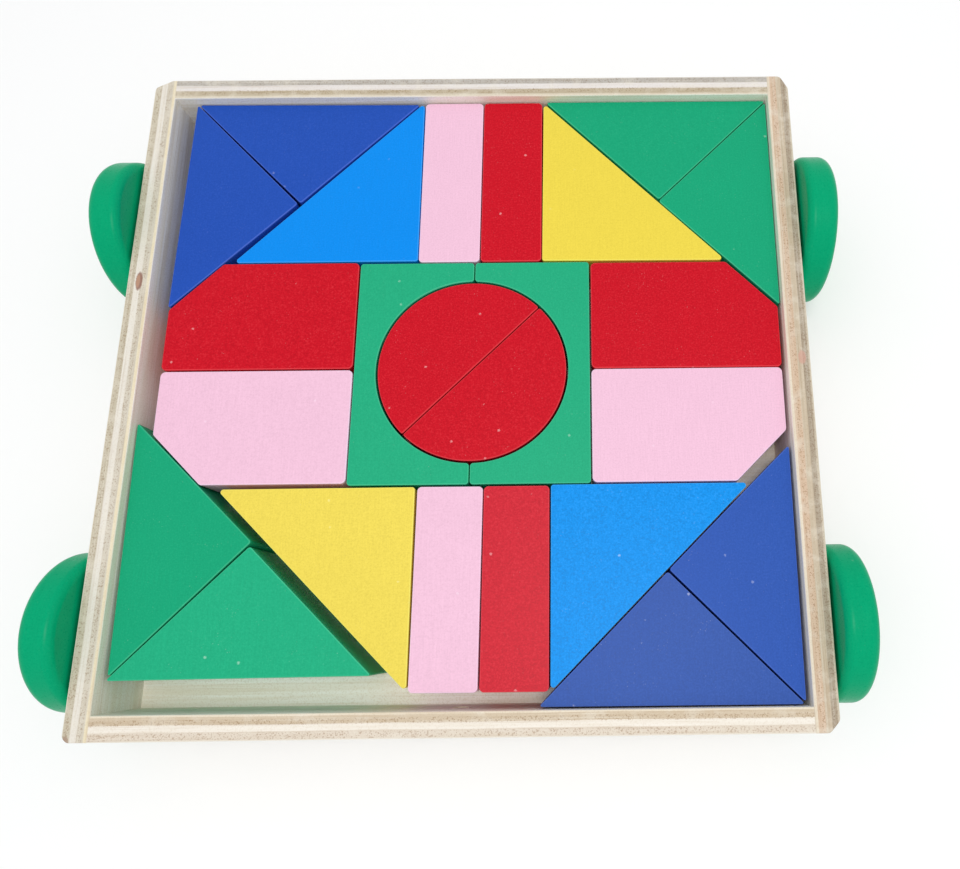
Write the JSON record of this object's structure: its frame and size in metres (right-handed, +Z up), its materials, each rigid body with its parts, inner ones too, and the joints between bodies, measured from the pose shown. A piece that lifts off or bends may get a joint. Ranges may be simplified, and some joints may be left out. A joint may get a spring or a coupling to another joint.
{
  "type": "block cart",
  "caption": "Square plywood tray on round wooden wheels, filled with a flat mosaic of painted wooden building blocks in bars, triangles, arches, half discs and clipped rectangles.",
  "frame": {"origin": "on the ground, under the middle of the cart", "axes": "+Z up, +X to the cart's right along the axles, -Y towards the front, where the front panel has its cord hole"},
  "size_m": [0.3094, 0.27, 0.06],
  "materials": {
    "panel_plywood": "sanded bare plywood, pale faces and banded edges",
    "floor_plywood": "sanded bare plywood",
    "peg_wood": "smooth turned bare wood",
    "pin_steel": "bright steel wire",
    "wheel_green_paint": "glossy paint on turned wood",
    "dark_blue_paint": "semi-gloss paint on wood",
    "light_blue_paint": "semi-gloss paint on wood",
    "green_paint": "semi-gloss paint on wood",
    "yellow_paint": "semi-gloss paint on wood",
    "pink_paint": "semi-gloss paint on wood",
    "red_paint": "semi-gloss paint on wood"
  },
  "bodies": {
    "tray": {"left_side_panel": "panel_plywood", "right_side_panel": "panel_plywood", "front_panel": "panel_plywood", "rear_panel": "panel_plywood", "floor_panel": "floor_plywood", "corner_pins": "pin_steel", "floor_pins": "pin_steel", "axle_peg_front_left": "peg_wood", "axle_peg_front_right": "peg_wood", "axle_peg_rear_left": "peg_wood", "axle_peg_rear_right": "peg_wood"},
    "wheel_front_left": {"wheel_front_left": "wheel_green_paint"},
    "wheel_front_right": {"wheel_front_right": "wheel_green_paint"},
    "wheel_rear_left": {"wheel_rear_left": "wheel_green_paint"},
    "wheel_rear_right": {"wheel_rear_right": "wheel_green_paint"},
    "dark_blue_triangle_left": {"dark_blue_triangle_left": "dark_blue_paint"},
    "dark_blue_triangle_rear": {"dark_blue_triangle_rear": "dark_blue_paint"},
    "light_blue_triangle_rear": {"light_blue_triangle_rear": "light_blue_paint"},
    "pink_bar_rear": {"pink_bar_rear": "pink_paint"},
    "red_bar_rear": {"red_bar_rear": "red_paint"},
    "yellow_triangle_rear": {"yellow_triangle_rear": "yellow_paint"},
    "green_triangle_rear": {"green_triangle_rear": "green_paint"},
    "green_triangle_right": {"green_triangle_right": "green_paint"},
    "red_clipped_block_left": {"red_clipped_block_left": "red_paint"},
    "pink_clipped_block_left": {"pink_clipped_block_left": "pink_paint"},
    "green_arch_left": {"green_arch_left": "green_paint"},
    "green_arch_right": {"green_arch_right": "green_paint"},
    "red_half_disc_rear": {"red_half_disc_rear": "red_paint"},
    "red_half_disc_front": {"red_half_disc_front": "red_paint"},
    "red_clipped_block_right": {"red_clipped_block_right": "red_paint"},
    "pink_clipped_block_right": {"pink_clipped_block_right": "pink_paint"},
    "green_triangle_left": {"green_triangle_left": "green_paint"},
    "green_triangle_front": {"green_triangle_front": "green_paint"},
    "yellow_triangle_front": {"yellow_triangle_front": "yellow_paint"},
    "pink_bar_front": {"pink_bar_front": "pink_paint"},
    "red_bar_front": {"red_bar_front": "red_paint"},
    "light_blue_triangle_front": {"light_blue_triangle_front": "light_blue_paint"},
    "dark_blue_triangle_right": {"dark_blue_triangle_right": "dark_blue_paint"},
    "dark_blue_triangle_front": {"dark_blue_triangle_front": "dark_blue_paint"}
  },
  "joints": [
    {"name": "wheel_front_left_spin", "type": "hinge", "parent": "tray", "child": "wheel_front_left", "pos_m": [-0.1435, -0.0965, 0.03], "axis": [1, 0, 0], "continuous": true},
    {"name": "wheel_front_right_spin", "type": "hinge", "parent": "tray", "child": "wheel_front_right", "pos_m": [0.1435, -0.0965, 0.03], "axis": [1, 0, 0], "continuous": true},
    {"name": "wheel_rear_left_spin", "type": "hinge", "parent": "tray", "child": "wheel_rear_left", "pos_m": [-0.1435, 0.0715, 0.03], "axis": [1, 0, 0], "continuous": true},
    {"name": "wheel_rear_right_spin", "type": "hinge", "parent": "tray", "child": "wheel_rear_right", "pos_m": [0.1435, 0.0715, 0.03], "axis": [1, 0, 0], "continuous": true},
    {"name": "dark_blue_triangle_left_lift", "type": "slide", "parent": "tray", "child": "dark_blue_triangle_left", "axis": [0, 0, 1], "range_m": [0, 0.06]},
    {"name": "dark_blue_triangle_rear_lift", "type": "slide", "parent": "tray", "child": "dark_blue_triangle_rear", "axis": [0, 0, 1], "range_m": [0, 0.06]},
    {"name": "light_blue_triangle_rear_lift", "type": "slide", "parent": "tray", "child": "light_blue_triangle_rear", "axis": [0, 0, 1], "range_m": [0, 0.06]},
    {"name": "pink_bar_rear_lift", "type": "slide", "parent": "tray", "child": "pink_bar_rear", "axis": [0, 0, 1], "range_m": [0, 0.06]},
    {"name": "red_bar_rear_lift", "type": "slide", "parent": "tray", "child": "red_bar_rear", "axis": [0, 0, 1], "range_m": [0, 0.06]},
    {"name": "yellow_triangle_rear_lift", "type": "slide", "parent": "tray", "child": "yellow_triangle_rear", "axis": [0, 0, 1], "range_m": [0, 0.06]},
    {"name": "green_triangle_rear_lift", "type": "slide", "parent": "tray", "child": "green_triangle_rear", "axis": [0, 0, 1], "range_m": [0, 0.06]},
    {"name": "green_triangle_right_lift", "type": "slide", "parent": "tray", "child": "green_triangle_right", "axis": [0, 0, 1], "range_m": [0, 0.06]},
    {"name": "red_clipped_block_left_lift", "type": "slide", "parent": "tray", "child": "red_clipped_block_left", "axis": [0, 0, 1], "range_m": [0, 0.06]},
    {"name": "pink_clipped_block_left_lift", "type": "slide", "parent": "tray", "child": "pink_clipped_block_left", "axis": [0, 0, 1], "range_m": [0, 0.06]},
    {"name": "green_arch_left_lift", "type": "slide", "parent": "tray", "child": "green_arch_left", "axis": [0, 0, 1], "range_m": [0, 0.06]},
    {"name": "green_arch_right_lift", "type": "slide", "parent": "tray", "child": "green_arch_right", "axis": [0, 0, 1], "range_m": [0, 0.06]},
    {"name": "red_half_disc_rear_lift", "type": "slide", "parent": "tray", "child": "red_half_disc_rear", "axis": [0, 0, 1], "range_m": [0, 0.06]},
    {"name": "red_half_disc_front_lift", "type": "slide", "parent": "tray", "child": "red_half_disc_front", "axis": [0, 0, 1], "range_m": [0, 0.06]},
    {"name": "red_clipped_block_right_lift", "type": "slide", "parent": "tray", "child": "red_clipped_block_right", "axis": [0, 0, 1], "range_m": [0, 0.06]},
    {"name": "pink_clipped_block_right_lift", "type": "slide", "parent": "tray", "child": "pink_clipped_block_right", "axis": [0, 0, 1], "range_m": [0, 0.06]},
    {"name": "green_triangle_left_lift", "type": "slide", "parent": "tray", "child": "green_triangle_left", "axis": [0, 0, 1], "range_m": [0, 0.06]},
    {"name": "green_triangle_front_lift", "type": "slide", "parent": "tray", "child": "green_triangle_front", "axis": [0, 0, 1], "range_m": [0, 0.06]},
    {"name": "yellow_triangle_front_lift", "type": "slide", "parent": "tray", "child": "yellow_triangle_front", "axis": [0, 0, 1], "range_m": [0, 0.06]},
    {"name": "pink_bar_front_lift", "type": "slide", "parent": "tray", "child": "pink_bar_front", "axis": [0, 0, 1], "range_m": [0, 0.06]},
    {"name": "red_bar_front_lift", "type": "slide", "parent": "tray", "child": "red_bar_front", "axis": [0, 0, 1], "range_m": [0, 0.06]},
    {"name": "light_blue_triangle_front_lift", "type": "slide", "parent": "tray", "child": "light_blue_triangle_front", "axis": [0, 0, 1], "range_m": [0, 0.06]},
    {"name": "dark_blue_triangle_right_lift", "type": "slide", "parent": "tray", "child": "dark_blue_triangle_right", "axis": [0, 0, 1], "range_m": [0, 0.06]},
    {"name": "dark_blue_triangle_front_lift", "type": "slide", "parent": "tray", "child": "dark_blue_triangle_front", "axis": [0, 0, 1], "range_m": [0, 0.06]}
  ]
}
